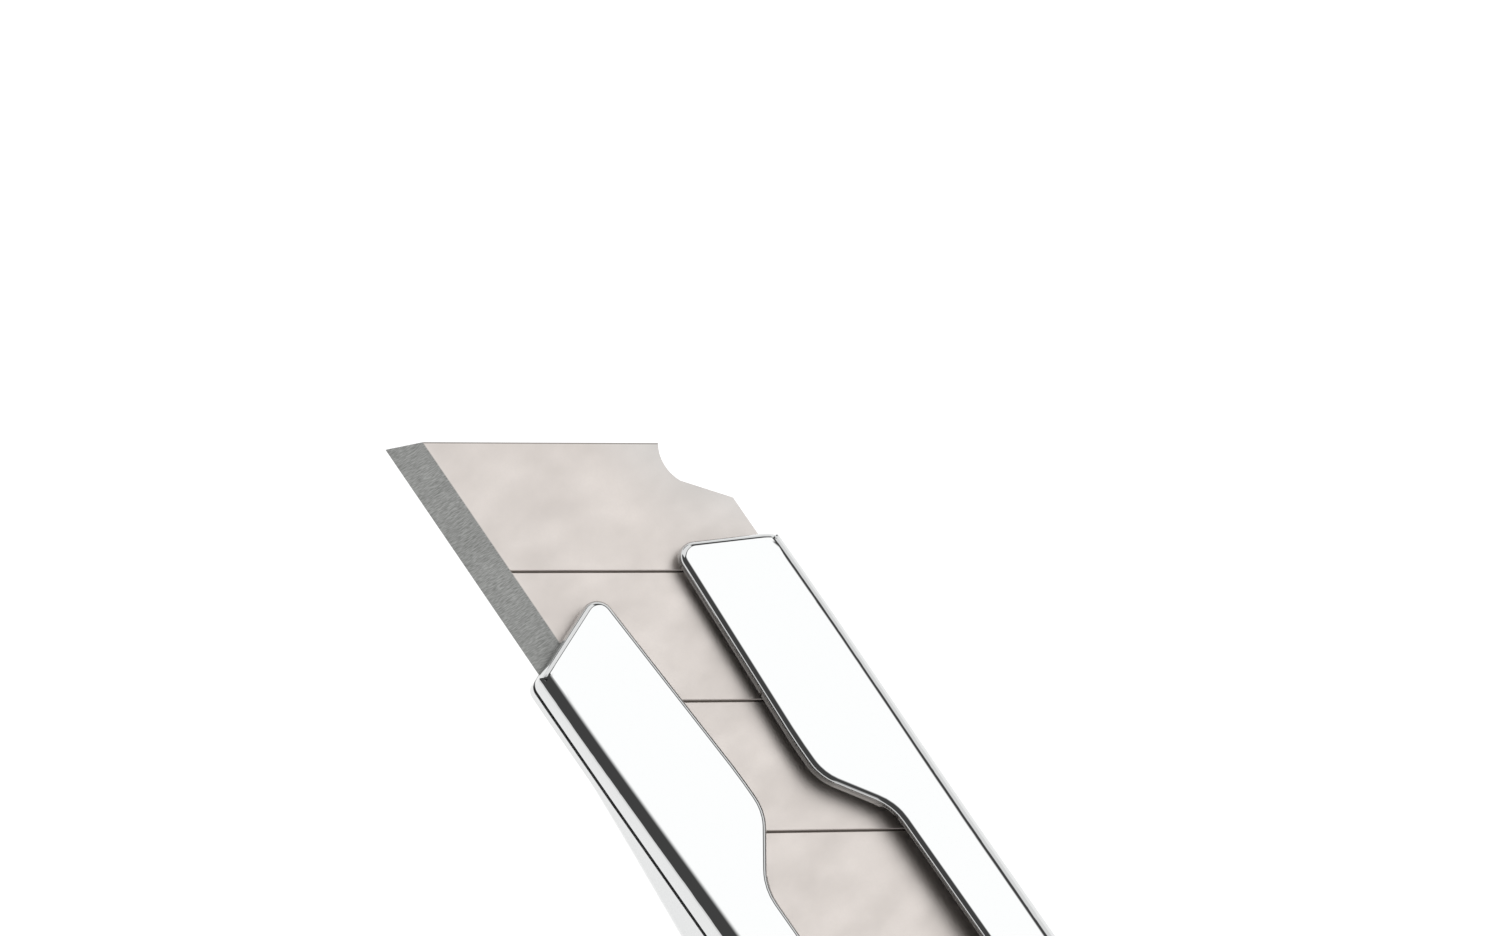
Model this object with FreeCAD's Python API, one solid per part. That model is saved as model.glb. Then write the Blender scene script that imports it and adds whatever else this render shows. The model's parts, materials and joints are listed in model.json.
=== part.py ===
"""Snap-off utility knife: an 18 mm blade in a two-shell cast metal body with a wheel lock.

Every shape is built in the knife's own coordinates, in millimetres: x = -station, where a station
is the distance behind the blade's unbroken point, y = 0 on the centre line with the cutting edge on
the +y side, and z = 0 on the blade's slotted-side face. export() then moves each shape to the part's
frame, whose origin is the centre of the underside.
"""
import FreeCAD, Part
import math
import os

from FreeCAD import Vector

# ---- Blade (a standard snap-off size) ----
blade_width = 18.0
blade_length = 100.0            # point to rear spine corner
blade_thickness = 0.5
segment_pitch = 10.0
segment_count = 8
score_angle = 60.0              # between the cutting edge and the score lines
score_depth = 0.12
score_width = 0.22
bevel_width = 2.3               # width of the ground bevel
edge_thickness = 0.03           # land left at the cutting edge
chip_station = 0.5              # where the broken point ends on the cutting edge
notch_depth = 2.7               # bite out of the front segment's spine corner, and its outline's
notch_front_lift = 0.5          # heights above its deepest point and reaches behind the blade's front
notch_low_reach = 1.8
notch_back_reach = 3.1
notch_back_lift = 0.3
notch_end_reach = 5.8
tail_chamfer = 2.0

# ---- Where the blade stands ----
blade_out = 15.65               # blade point to the lobes' inner tips

# ---- Body ----
side_clearance = 0.1            # blade to channel wall
nose_wall = 0.75                # side wall beside the blade at the lobes' tips
waist_wall = 0.5                # the same where the nose is narrowest
waist_start = 20.0              # stations of the narrowing from lobes to waist
waist_end = 42.0
body_length = 134.0             # lobes' inner tips to the shells' rear end
handle_width = 26.0
handle_depth = 10.5             # blade face to the underside
face_at_nose = 1.35             # blade face to the front face, at the lobes' tips
face_at_handle = 2.2
face_rise_end = 50.0            # station where the front face becomes parallel to the blade
lip_at_nose = 0.65              # thickness of the lips
lip_at_handle = 1.0
flare_start = 50.0              # stations of the widening from nose to handle
flare_end = 70.0
belly_start = 15.6              # stations of the deepening from nose to handle
belly_end = 55.0
rim_depth = 1.2                 # blade face to the crease under the rear shell's rim
belly_inset = 0.3               # step in from the rim to the belly
belly_root = 0.1                # how far inside the rim the belly's underside starts
shoulder_at_nose = 0.9          # rounding between the front face and the sides
shoulder_at_handle = 1.3
shoulder_start = 20.0           # station where that rounding starts to grow
shoulder_spread = 1.35          # how much wider than high it is
keel_radius_base = 0.15
keel_radius_share = 0.45        # of the belly's depth below the crease
parting_groove = 0.45           # height of the groove between the shells
parting_groove_depth = 0.2
belly_wall = 1.1

# ---- Lobes and slot ----
lobe_rake = 0.44                # how far the lobes' front edges fall back per mm outwards
lobe_tip_radius = 1.1
lobe_corner_radius = 0.8        # rounding of the lobes' outer front corners
slot_mouth = 5.9                # slot width at the lobes' tips
slot_neck = 4.25                # narrowest width
slot_width = 10.2               # width along the handle
neck_start = 30.0               # stations of the neck and of the shoulder behind it
neck_end = 32.9
slot_open = 37.0
neck_radius = 3.5
neck_sweep_radius = 25.0        # easy bend where the slot's mouth turns into the neck
slot_end = 115.0                # station of the slot's rear end

# ---- Guide rail, a folded steel channel ----
rail_sheet = 0.5
rail_start = 57.0
rail_end = 124.0
rail_lip = 0.6                  # how far its side walls stand above the blade's face
fit_gap = 0.05                  # clearance of sliding and seated parts
blade_gap = 0.05                # under the blade

# ---- Carriage: carrier, peg, nut and saddle ----
carrier_start = 77.0
carrier_end = 98.0
carrier_sheet = 0.6
carrier_side_gap = 0.2          # carrier short of the blade's edges
carrier_corner = 2.0
peg_station = 91.5
peg_offset = -1.0               # y of the peg
peg_radius = 1.9
peg_clearance = 0.1
peg_head_radius = 2.3
peg_head_height = 0.5
wheel_station = 85.0
nut_size = 7.0
nut_height = 2.8
nut_clearance = 0.1             # nut to its pocket, each side
pocket_clearance = 0.2          # above the nut, and round the peg's head
stud_radius = 1.95
thread_clearance = 0.05
stud_clearance = 0.3            # stud to the holes it passes through
stem_start = 79.0
stem_end = 95.0
stem_clearance = 0.25           # stem to slot wall, each side
stem_root = 0.5                 # how far the stem reaches into the saddle
saddle_start = 66.0
saddle_end = 104.0
saddle_width = 17.0
saddle_height = 3.1
saddle_corner = 5.0
saddle_edge = 0.8
saddle_gap = 0.15               # saddle above the front face
thumb_rib_count = 3             # in front of the wheel, and as many behind it
thumb_rib_pitch = 2.0
thumb_rib_width = 1.0
thumb_rib_height = 0.6
thumb_rib_inset = 2.5           # ribs to the saddle's sides, and the first rib's centre to the wheel

# ---- Lock wheel ----
wheel_radius = 8.0
wheel_height = 3.6
wheel_scallops = 20
scallop_radius = 0.9
scallop_offset = 0.4            # share of that radius by which its centre is outside the rim
wheel_edge = 0.7
wheel_seat = 0.4                # depth and clearance of the wheel's seat in the saddle
washer_height = 0.35
washer_radius = 5.0
washer_bore_clearance = 0.4
wheel_cap_radius = 4.5
wheel_cap_height = 0.6
wheel_cap_proud = 0.15
wheel_cap_edge = 0.12
stud_lift = 0.3                 # stud's end above the carrier
stud_head_rim = 1.4
stud_head_floor = 0.8           # wheel's underside to the stud's head
stud_head_cover = 0.6           # stud's head to the cap's recess

# ---- Grip pads ----
pad_start = 78.0
pad_end = 128.0
pad_top = -2.3                  # z of the side pads' upper and lower edges
pad_bottom = -7.0
pad_recess = 1.0
pad_proud = 0.3
pad_rib_pitch = 5.0
pad_rib_width = 2.6
pad_groove_depth = 0.15
pad_border = 0.8                # plain border above and below the ribs
pad_plain_end = 3.0             # plain length at each end of a pad
back_pad_start = 84.0
back_pad_end = 136.0
back_pad_width = 13.0
back_pad_thickness = 0.7
back_pad_corner = 3.0
back_pad_border = 1.5
back_pad_groove_depth = 0.35

# ---- Body screws (from the sides, into tabs on the front shell) ----
screw_stations = (73.0, 138.0)
screw_drop = 3.2                # below the blade's face
screw_radius = 1.0
screw_head_radius = 2.0
screw_head_depth = 1.0
screw_cross_reach = 1.2         # half length, half width and depth of the driver's cross
screw_cross_half = 0.2
screw_cross_depth = 0.5
screw_end_gap = 0.3             # screw's end to the rail
tab_thickness = 1.7
tab_length = 7.0
tab_depth = 5.6
tab_gap = 0.1                   # tab to the rail's room
tab_root = 0.2                  # how far a tab reaches up into the front shell

# ---- Spare blades and their spring ----
spare_count = 2
spare_gap = 0.05
spare_start = 58.0
spare_drop = 6.2                # below the blade's face
spare_side_clearance = 0.2
bay_start = 34.0
bay_ledge = 0.9                 # ledge the blade slides on, each side, in front of the rail
bay_rib_stations = (66.0, 88.0, 110.0, 132.0)
bay_rib_width = 2.0
bay_rib_root = 0.2              # how far the ribs reach into the bay's walls
spare_spring_start = 72.0
spare_spring_end = 128.0
spare_spring_width = 8.0
spare_spring_toe = 1.0          # length that its ends taper over
spring_sheet = 0.3

# ---- Leaf spring under the blade at the nose ----
nose_spring_start = 38.0
nose_spring_end = 54.0
nose_spring_width = 9.0
nose_spring_foot = 5.0          # length of its riveted foot
nose_spring_drop = 2.6          # underside of the foot below the blade's face
nose_spring_lip = 2.0           # length of its turned-down tip
nose_spring_dip = 0.5           # how far that tip turns down
rivet_radius = 0.9
rivet_head_radius = 1.7
rivet_head_height = 0.4
rivet_length = 1.8

# ---- End cap ----
cap_length = 22.0
cap_gap = 0.2
cap_wall = 1.6
cap_floor = 2.2
cap_hollow = 12.0
cap_corner = 5.0                # rounding of its rear corners, seen from above
cap_edge = 1.2
tongue_length = 9.0
tongue_gap = 0.1
upper_tongue = 1.4              # thicknesses of the two tongues
lower_tongue = 1.6
lower_tongue_inset = 3.5        # lower tongue to the bay's sides
cap_groove_count = 4
cap_groove_pitch = 2.6
cap_groove_width = 1.2
cap_groove_depth = 0.6
cap_groove_first = 3.0
cap_groove_low = 2.5            # grooves' lower ends above the underside
cap_groove_high = 1.0           # grooves' upper ends below the crease
snap_slit = 0.9
snap_slit_depth = 9.0
snap_slit_width = 20.0
snap_slit_drop = 0.8            # slit below the blade's face
lanyard_radius = 2.25
lanyard_from_end = 5.5
lanyard_drop = 6.0              # below the blade's face

# ---- Cutting tools and joints between fused shapes ----
ahead = 5.0                     # a station ahead of the body, in the open
margin = 2.0                    # how far a cutting tool stands clear of what it cuts
past = 1.0                      # how far a cut or a fused feature runs past an end
sink = 0.3                      # how far a fused feature reaches into its base
far = 400.0                     # longer than the knife

# ---- Worked out ----
half_blade = blade_width / 2
slant = 1 / math.tan(math.radians(score_angle))     # stations per mm from the edge to the spine
channel_half = half_blade + side_clearance
nose_half = channel_half + nose_wall
handle_half = handle_width / 2
body_end = blade_out + body_length
parting = -blade_thickness / 2
channel_floor = -blade_thickness - blade_gap
rail_half = channel_half + rail_sheet
rail_floor = channel_floor - rail_sheet
bay_half = half_blade + spare_side_clearance
bay_front_half = channel_half - bay_ledge
saddle_floor = face_at_handle + saddle_gap
saddle_top = saddle_floor + saddle_height
wheel_floor = saddle_top + washer_height
wheel_top = wheel_floor + wheel_height
cap_start = body_end + cap_gap
cap_end = cap_start + cap_length
station_step = 3.0              # between the sections of the changing part of the body


def smooth(value, start, end):
    """0 before start, 1 after end, and a smooth rise between."""
    share = min(max((value - start) / (end - start), 0.0), 1.0)
    return share * share * (3 - 2 * share)


def half_width(station):
    """Half the body's width: full at the lobes, a slight waist, then the handle."""
    waist_half = nose_half + (waist_wall - nose_wall) * smooth(station, waist_start, waist_end)
    return waist_half + (handle_half - waist_half) * smooth(station, flare_start, flare_end)


def face_height(station):
    """Height of the front face above the blade: a slope at the nose, then level."""
    share = min((station - blade_out) / (face_rise_end - blade_out), 1.0)
    return face_at_nose + (face_at_handle - face_at_nose) * share


def lip_thickness(station):
    """Thickness of the front face's wall."""
    share = min((station - blade_out) / (face_rise_end - blade_out), 1.0)
    return lip_at_nose + (lip_at_handle - lip_at_nose) * share


def belly_depth(station):
    """Depth of the underside below the blade's face."""
    start = rim_depth - belly_root
    return start + (handle_depth - start) * smooth(station, belly_start, belly_end)


def shoulder(station):
    """Rounding between the front face and the sides."""
    share = smooth(station, shoulder_start, flare_end)
    return shoulder_at_nose + (shoulder_at_handle - shoulder_at_nose) * share


def keel_radius(station):
    """Rounding between the underside and the sides."""
    return keel_radius_base + keel_radius_share * (belly_depth(station) - rim_depth)


def point(station, y, z):
    return Vector(-station, y, z)


def polygon(points):
    return Part.makePolygon(points + [points[0]])


def prism(points, direction):
    """Solid made by moving a closed flat outline."""
    return Part.Face(polygon(points)).extrude(direction)


def plan_prism(outline, low, high):
    """Solid between two heights over an outline of (station, y) pairs."""
    return prism([point(s, y, low) for s, y in outline], Vector(0, 0, high - low))


def side_prism(outline, half):
    """Solid across the knife over an outline of (station, z) pairs."""
    return prism([point(s, -half, z) for s, z in outline], Vector(0, 2 * half, 0))


def block(start, end, y_low, y_high, low, high):
    """Box between two stations."""
    return Part.makeBox(end - start, y_high - y_low, high - low, point(end, y_low, low))


def upright_cylinder(station, y, radius, low, high):
    return Part.makeCylinder(radius, high - low, point(station, y, low), Vector(0, 0, 1))


def fuse(shapes):
    whole = shapes[0].multiFuse(shapes[1:])
    return whole.removeSplitter()


def rounded(wire_points, radii):
    """Closed flat wire through the points, each corner rounded by its own radius (0 for sharp)."""
    count = len(wire_points)
    edges = []
    starts = []
    ends = []
    for index in range(count):
        corner = wire_points[index]
        before = (wire_points[index - 1] - corner).normalize()
        after = (wire_points[(index + 1) % count] - corner).normalize()
        radius = radii[index]
        if radius == 0:
            starts.append(corner)
            ends.append(corner)
            continue
        half_angle = before.getAngle(after) / 2
        reach = radius / math.tan(half_angle)
        middle_way = (before + after).normalize()
        centre = corner + middle_way * (radius / math.sin(half_angle))
        starts.append(corner + before * reach)
        ends.append(corner + after * reach)
        edges.append(Part.Arc(starts[-1], centre - middle_way * radius, ends[-1]).toShape())
    for index in range(count):
        a = ends[index]
        b = starts[(index + 1) % count]
        if a.distanceToPoint(b) > 1e-6:
            edges.append(Part.makeLine(a, b))
    return Part.Wire(Part.__sortEdges__(edges))


def rounded_prism(outline, radii, low, high):
    """plan_prism with rounded corners."""
    wire = rounded([point(s, y, low) for s, y in outline], radii)
    return Part.Face(wire).extrude(Vector(0, 0, high - low))


def quarter(start, corner, end):
    """Quarter of an ellipse that leaves start and reaches end along the sides of their corner."""
    curve = Part.BezierCurve()
    curve.setPoles([start, corner, end])
    curve.setWeight(2, math.sqrt(0.5))
    return curve.toShape()


def section(station, half, square_z, round_z, height, width):
    """Wire across the knife: square corners at square_z, rounded ones of that height and width at round_z."""
    start_z = round_z - math.copysign(height, round_z - square_z)
    a = point(station, -half, square_z)
    b = point(station, -half, start_z)
    c = point(station, width - half, round_z)
    d = point(station, half - width, round_z)
    e = point(station, half, start_z)
    f = point(station, half, square_z)
    left = quarter(b, point(station, -half, round_z), c)
    right = quarter(d, point(station, half, round_z), e)
    lines = [Part.makeLine(a, b), left, Part.makeLine(c, d), right, Part.makeLine(e, f), Part.makeLine(f, a)]
    return Part.Wire(lines)


def body_pieces(start, end):
    """Stations of the lofts that make up the body: one for each stretch that changes in its own way,
    then one from end to end of the even part."""
    changes = sorted({face_rise_end, belly_end, flare_end})
    breaks = [start] + [station for station in changes if start < station < end] + [end]
    pieces = []
    for first, last in zip(breaks, breaks[1:]):
        if first >= changes[-1]:
            pieces.append([first, last])
            continue
        count = max(2, round((last - first) / station_step))
        pieces.append([first + (last - first) * index / count for index in range(count + 1)])
    return pieces


def body_loft(start, end, wire_at):
    """Solid through the body's sections, wire_at(station), between two stations."""
    solids = []
    for stations in body_pieces(start, end):
        wires = [wire_at(station) for station in stations]
        solids.append(Part.makeLoft(wires, True, len(wires) == 2))
    return fuse(solids) if len(solids) > 1 else solids[0]


def front_form(start, end):
    """The slotted side of the body from the parting plane up."""
    def wire_at(station):
        height = shoulder(station)
        width = height * shoulder_spread
        return section(station, half_width(station), parting, face_height(station), height, width)
    return body_loft(start, end, wire_at)


def belly_form(start, end, inset=0.0):
    """The deep side of the body below the rim."""
    def wire_at(station):
        half = half_width(station) - belly_inset - inset
        radius = max(keel_radius(station) - inset, 0.1)
        return section(station, half, -rim_depth + sink, -belly_depth(station) + inset, radius, radius)
    return body_loft(start, end, wire_at)


def outline_form(start, end, inset, low, high):
    """Vertical-walled slab that follows the body's outline."""
    def wire_at(station):
        half = half_width(station) - inset
        corners = [point(station, y, z) for y, z in ((-half, low), (half, low), (half, high), (-half, high))]
        return polygon(corners)
    return body_loft(start, end, wire_at)


def lobe_front(distance):
    """Station of the lobes' front edge at a distance from the centre line."""
    tip = slot_mouth / 2 + lobe_tip_radius
    return blade_out + lobe_rake * (distance - tip)


def slot_side():
    """One side of the slot behind its mouth, as (station, y, rounding) corners."""
    neck = slot_neck / 2
    wide = slot_width / 2
    return [(neck_start, neck, neck_sweep_radius), (neck_end, neck, neck_radius),
            (slot_open, wide, neck_radius), (slot_end, wide, wide - 0.01)]


def lobe_outside():
    """Outline of a cutting tool round a lobe's outer front corner, as (station, y, rounding) corners."""
    reach = nose_half + margin
    corner = lobe_front(nose_half)
    return [(0.0, reach, 0), (corner + margin, reach, 0), (corner + margin, nose_half, 0),
            (corner, nose_half, lobe_corner_radius)]


def slot_tool(low, high):
    """The slot with its flared mouth and the lobes' rounded tips and corners."""
    mouth = slot_mouth / 2
    half = lobe_outside() + [(lobe_front(mouth), mouth, lobe_tip_radius)] + slot_side()
    whole = half + [(s, -y, r) for s, y, r in reversed(half)]
    return rounded_prism([(s, y) for s, y, r in whole], [r for s, y, r in whole], low, high)


def nose_tool(low, high):
    """Everything in front of the rear shell's front edge, which runs straight between the tips."""
    half = lobe_outside() + [(blade_out, slot_mouth / 2 + lobe_tip_radius, 0)]
    whole = half + [(s, -y, r) for s, y, r in reversed(half)]
    return rounded_prism([(s, y) for s, y, r in whole], [r for s, y, r in whole], low, high)


def channel_tool(low):
    """Room for the blade under the lips, as deep as low, with a ceiling that follows the front face."""
    ceiling = [(s, face_height(s) - lip_thickness(s)) for s in (ahead, face_rise_end, far)]
    outline = [(ahead, low), (far, low)] + [(s, z) for s, z in reversed(ceiling)]
    return side_prism(outline, channel_half)


def rail_room(low, high):
    return block(rail_start - fit_gap, body_end + past, -rail_half - fit_gap, rail_half + fit_gap, low, high)


def groove_tool():
    """Ring cut round both shells where they meet."""
    low = parting - parting_groove / 2
    high = parting + parting_groove / 2
    slab = block(0, body_end + past, -far, far, low, high)
    core = outline_form(ahead, body_end + margin, parting_groove_depth, low - past, high + past)
    return slab.cut(core)


def screw_tabs(grow):
    """Tabs under the front shell that the side screws hold."""
    tabs = []
    for station in screw_stations:
        for side in (-1, 1):
            inner = rail_half + fit_gap + tab_gap - grow
            outer = inner + tab_thickness + 2 * grow
            ys = sorted((side * inner, side * outer))
            half = tab_length / 2 + grow
            low, high = -tab_depth - grow, parting + tab_root
            tabs.append(block(station - half, station + half, ys[0], ys[1], low, high))
    return tabs


def screw_axes():
    """Station and side of each body screw."""
    return [(station, side) for station in screw_stations for side in (-1, 1)]


def screw_solid(station, side, radius, head_radius, head_depth, inner):
    """Countersunk screw along y, from its head at the belly's flank inwards."""
    outer = half_width(station) - belly_inset
    way = Vector(0, -side, 0)
    start = point(station, side * outer, -screw_drop)
    head = Part.makeCone(head_radius, radius, head_depth, start, way)
    shank = Part.makeCylinder(radius, outer - inner, start, way)
    return head.fuse(shank)


def front_shell():
    form = front_form(ahead, body_end)
    form = form.cut(slot_tool(-far, far))
    form = form.cut(channel_tool(-margin))
    form = form.cut(rail_room(-margin, rail_lip + fit_gap))
    form = form.cut(groove_tool())
    form = fuse([form] + screw_tabs(0))
    for station, side in screw_axes():
        start = point(station, 0, -screw_drop)
        form = form.cut(Part.makeCylinder(screw_radius, far, start, Vector(0, side, 0)))
    return form


def pad_wire_prism(start, end, low, high, depth_in, depth_out, side):
    """Round-ended slab on a flank: stations, heights, and how far it goes in and out of the flank."""
    flank = handle_half - belly_inset
    radius = (high - low) / 2 - 0.01
    corners = [Vector(-s, 0, z) for s, z in ((start, low), (end, low), (end, high), (start, high))]
    wire = rounded(corners, [radius] * 4)
    slab = Part.Face(wire).extrude(Vector(0, depth_in + depth_out, 0))
    inner = flank - depth_in
    if side > 0:
        slab.translate(Vector(0, inner, 0))
    else:
        slab.translate(Vector(0, -flank - depth_out, 0))
    return slab


def pad_pocket(side):
    gap = fit_gap
    return pad_wire_prism(pad_start - gap, pad_end + gap, pad_bottom - gap, pad_top + gap, pad_recess, margin,
                          side)


def back_pad_prism(gap, low, high):
    """Round-cornered slab on the underside."""
    half = back_pad_width / 2 + gap
    start = back_pad_start - gap
    end = back_pad_end + gap
    corners = [(start, -half), (end, -half), (end, half), (start, half)]
    return rounded_prism(corners, [back_pad_corner + gap] * 4, low, high)


def bay_tool():
    """Hollow under the blade: narrow in front, full blade width behind, with a floor above the belly."""
    inside = belly_form(bay_start, body_end + past, belly_wall)
    shape = inside.common(bay_slab(-far))
    return fuse([shape, bay_slab(-rim_depth)])


def bay_slab(low):
    """The bay's outline seen from above, from a height up to the blade's face."""
    front = block(bay_start, rail_start, -bay_front_half, bay_front_half, low, 0)
    back = block(rail_start - sink, body_end + past, -bay_half, bay_half, low, 0)
    return fuse([front, back])


def bay_ribs():
    """Cross ribs that the spare blades lie on."""
    top = -spare_drop
    ribs = []
    for station in bay_rib_stations:
        floor = -belly_depth(station) + belly_wall - sink
        half = bay_half + bay_rib_root
        ribs.append(block(station, station + bay_rib_width, -half, half, floor, top))
    return ribs


def rear_shell():
    rim = outline_form(ahead, body_end, 0.0, -rim_depth, parting)
    form = fuse([rim, belly_form(belly_start, body_end)])
    form = form.cut(nose_tool(-far, far))
    form = form.cut(block(ahead, far, -channel_half, channel_half, channel_floor, margin))
    form = form.cut(rail_room(rail_floor, margin))
    form = form.cut(bay_tool())
    form = fuse([form, nose_boss()] + bay_ribs())
    form = form.cut(groove_tool())
    for tab in screw_tabs(fit_gap):
        form = form.cut(tab)
    for side in (-1, 1):
        form = form.cut(pad_pocket(side))
    form = form.cut(back_pad_prism(fit_gap, -far, -handle_depth + back_pad_thickness))
    for station, side in screw_axes():
        gap = fit_gap
        form = form.cut(screw_solid(station, side, screw_radius + gap, screw_head_radius + gap,
                                    screw_head_depth + gap, rail_half))
    return form.cut(nose_rivet_shank(fit_gap))


def grip_pad(side):
    pad = pad_wire_prism(pad_start, pad_end, pad_bottom, pad_top, pad_recess, pad_proud, side)
    flank = handle_half - belly_inset
    count = int((pad_end - pad_start - 2 * pad_plain_end) / pad_rib_pitch)
    first = (pad_start + pad_end) / 2 - (count - 1) * pad_rib_pitch / 2
    for index in range(count):
        centre = first + index * pad_rib_pitch
        start = centre - (pad_rib_pitch - pad_rib_width) / 2
        end = start + pad_rib_pitch - pad_rib_width
        ys = sorted((side * (flank - pad_groove_depth), side * (flank + margin)))
        pad = pad.cut(block(start, end, ys[0], ys[1], pad_bottom + pad_border, pad_top - pad_border))
    return pad


def back_pad():
    floor = -handle_depth
    pad = back_pad_prism(0, floor, floor + back_pad_thickness)
    count = int((back_pad_end - back_pad_start - 2 * pad_plain_end) / pad_rib_pitch)
    first = (back_pad_start + back_pad_end) / 2 - (count - 1) * pad_rib_pitch / 2
    half = back_pad_width / 2 - back_pad_border
    for index in range(count):
        start = first + index * pad_rib_pitch - (pad_rib_pitch - pad_rib_width) / 2
        end = start + pad_rib_pitch - pad_rib_width
        pad = pad.cut(block(start, end, -half, half, floor - past, floor + back_pad_groove_depth))
    return pad


def body_screws():
    screws = []
    for station, side in screw_axes():
        inner = rail_half + screw_end_gap
        screw = screw_solid(station, side, screw_radius, screw_head_radius, screw_head_depth, inner)
        outer = half_width(station) - belly_inset
        ys = sorted((side * (outer - screw_cross_depth), side * (outer + past)))
        for tilt in (0, 90):
            bar = block(station - screw_cross_reach, station + screw_cross_reach, ys[0], ys[1],
                        -screw_drop - screw_cross_half, -screw_drop + screw_cross_half)
            bar.rotate(point(station, 0, -screw_drop), Vector(0, 1, 0), tilt)
            screw = screw.cut(bar)
        screws.append(screw)
    return Part.makeCompound(screws)


def blade_outline():
    """Outline of the blade as edges, in its own plane at z = 0."""
    def at(station, from_edge):
        return point(station, half_blade - from_edge, 0)
    chip_top = at(bevel_width * slant, bevel_width)
    bite = blade_width - notch_depth
    bite_start = bite * slant
    notch_front = at((bite + notch_front_lift) * slant, bite + notch_front_lift)
    notch_low = at(bite_start + notch_low_reach, bite)
    notch_back = at(bite_start + notch_back_reach, bite + notch_back_lift)
    notch_end = at(bite_start + notch_end_reach, blade_width)
    spine_end = at(blade_length - tail_chamfer, blade_width)
    tail_top = at(blade_length - tail_chamfer * slant, blade_width - tail_chamfer)
    tail_low = at(blade_length - blade_width * slant, 0)
    chip_low = at(chip_station, 0)
    corners = [notch_back, notch_end, spine_end, tail_top, tail_low, chip_low, chip_top, notch_front]
    edges = [Part.makeLine(a, b) for a, b in zip(corners, corners[1:])]
    edges.append(Part.Arc(notch_front, notch_low, notch_back).toShape())
    return Part.Wire(edges)


def blade_solid():
    """Blade with its two ground bevels, score lines and peg hole, spine face up at z = 0."""
    body = Part.Face(blade_outline()).extrude(Vector(0, 0, -blade_thickness))
    middle = -blade_thickness / 2
    land = edge_thickness / 2
    bevel_y = half_blade - bevel_width
    for sign in (-1, 1):
        flat = middle + sign * blade_thickness / 2
        clear = flat + sign * past
        outer = half_blade + past
        low = middle + sign * land
        profile = [Vector(past, bevel_y, flat), Vector(past, half_blade, low), Vector(past, outer, low),
                   Vector(past, outer, clear), Vector(past, bevel_y, clear)]
        body = body.cut(prism(profile, Vector(-blade_length - 2 * past, 0, 0)))
    for index in range(1, segment_count):
        body = body.cut(score_tool(index * segment_pitch))
    hole = upright_cylinder(peg_station, peg_offset, peg_radius + peg_clearance, -past, past)
    return body.cut(hole)


def score_tool(station):
    """V-shaped cut along one score line, from the bevel to the spine."""
    def at(from_edge, along, height):
        return point(station + slant * from_edge + along, half_blade - from_edge, height)
    half = score_width / 2 / math.sin(math.radians(score_angle))
    profile = [at(bevel_width, -half, 0), at(bevel_width, 0, -score_depth), at(bevel_width, half, 0)]
    reach = blade_width + past - bevel_width
    direction = Vector(-slant * reach, -reach, 0)
    return prism(profile, direction)


def spare_blades():
    """Fresh blades in the bay under the rail."""
    blades = []
    for index in range(spare_count):
        blade = blade_solid()
        top = -spare_drop + blade_thickness + index * (blade_thickness + spare_gap) + spare_gap
        blade.translate(Vector(-spare_start, 0, top))
        blades.append(blade)
    return Part.makeCompound(blades)


def spare_spring():
    """Bowed strip between the rail and the spare blades."""
    low = -spare_drop + spare_count * (blade_thickness + spare_gap) + 2 * spare_gap
    high = rail_floor - fit_gap
    middle = (spare_spring_start + spare_spring_end) / 2
    half = spare_spring_width / 2
    toe_start = spare_spring_start + spare_spring_toe
    toe_end = spare_spring_end - spare_spring_toe
    outer = Part.Arc(point(spare_spring_start, -half, low), point(middle, -half, high),
                     point(spare_spring_end, -half, low)).toShape()
    inner = Part.Arc(point(toe_start, -half, low), point(middle, -half, high - spring_sheet),
                     point(toe_end, -half, low)).toShape()
    ends = [Part.makeLine(point(spare_spring_start, -half, low), point(toe_start, -half, low)),
            Part.makeLine(point(spare_spring_end, -half, low), point(toe_end, -half, low))]
    wire = Part.Wire(Part.__sortEdges__([outer, inner] + ends))
    return Part.Face(wire).extrude(Vector(0, spare_spring_width, 0))


def guide_rail():
    """Folded channel that the blade and carrier run in."""
    outside = block(rail_start, rail_end, -rail_half, rail_half, rail_floor, rail_lip)
    inside = block(rail_start - past, rail_end + past, -channel_half, channel_half, channel_floor,
                   rail_lip + past)
    return outside.cut(inside)


def blade_carrier():
    """Pressed plate that lies on the blade and hooks its peg hole."""
    half = half_blade - carrier_side_gap
    outline = [(carrier_start, -half), (carrier_end, -half), (carrier_end, half), (carrier_start, half)]
    plate = rounded_prism(outline, [carrier_corner] * 4, 0, carrier_sheet)
    plate = plate.cut(upright_cylinder(peg_station, peg_offset, peg_radius, -margin, margin))
    return plate.cut(upright_cylinder(wheel_station, 0, stud_radius + stud_clearance, -margin, margin))


def carrier_peg():
    """Rivet through carrier and blade."""
    shank = upright_cylinder(peg_station, peg_offset, peg_radius, -blade_thickness, carrier_sheet)
    top = carrier_sheet + peg_head_height
    head = upright_cylinder(peg_station, peg_offset, peg_head_radius, carrier_sheet, top)
    return fuse([shank, head])


def carrier_nut():
    """Square nut on the carrier."""
    half = nut_size / 2
    start = wheel_station - half
    top = carrier_sheet + nut_height
    nut = block(start, start + nut_size, -half, half, carrier_sheet, top)
    return nut.cut(upright_cylinder(wheel_station, 0, stud_radius + thread_clearance, 0, top + past))


def round_ended(start, end, half, low, high):
    """Slab with half-round ends."""
    outline = [(start, -half), (end, -half), (end, half), (start, half)]
    return rounded_prism(outline, [half - 0.01] * 4, low, high)


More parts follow.
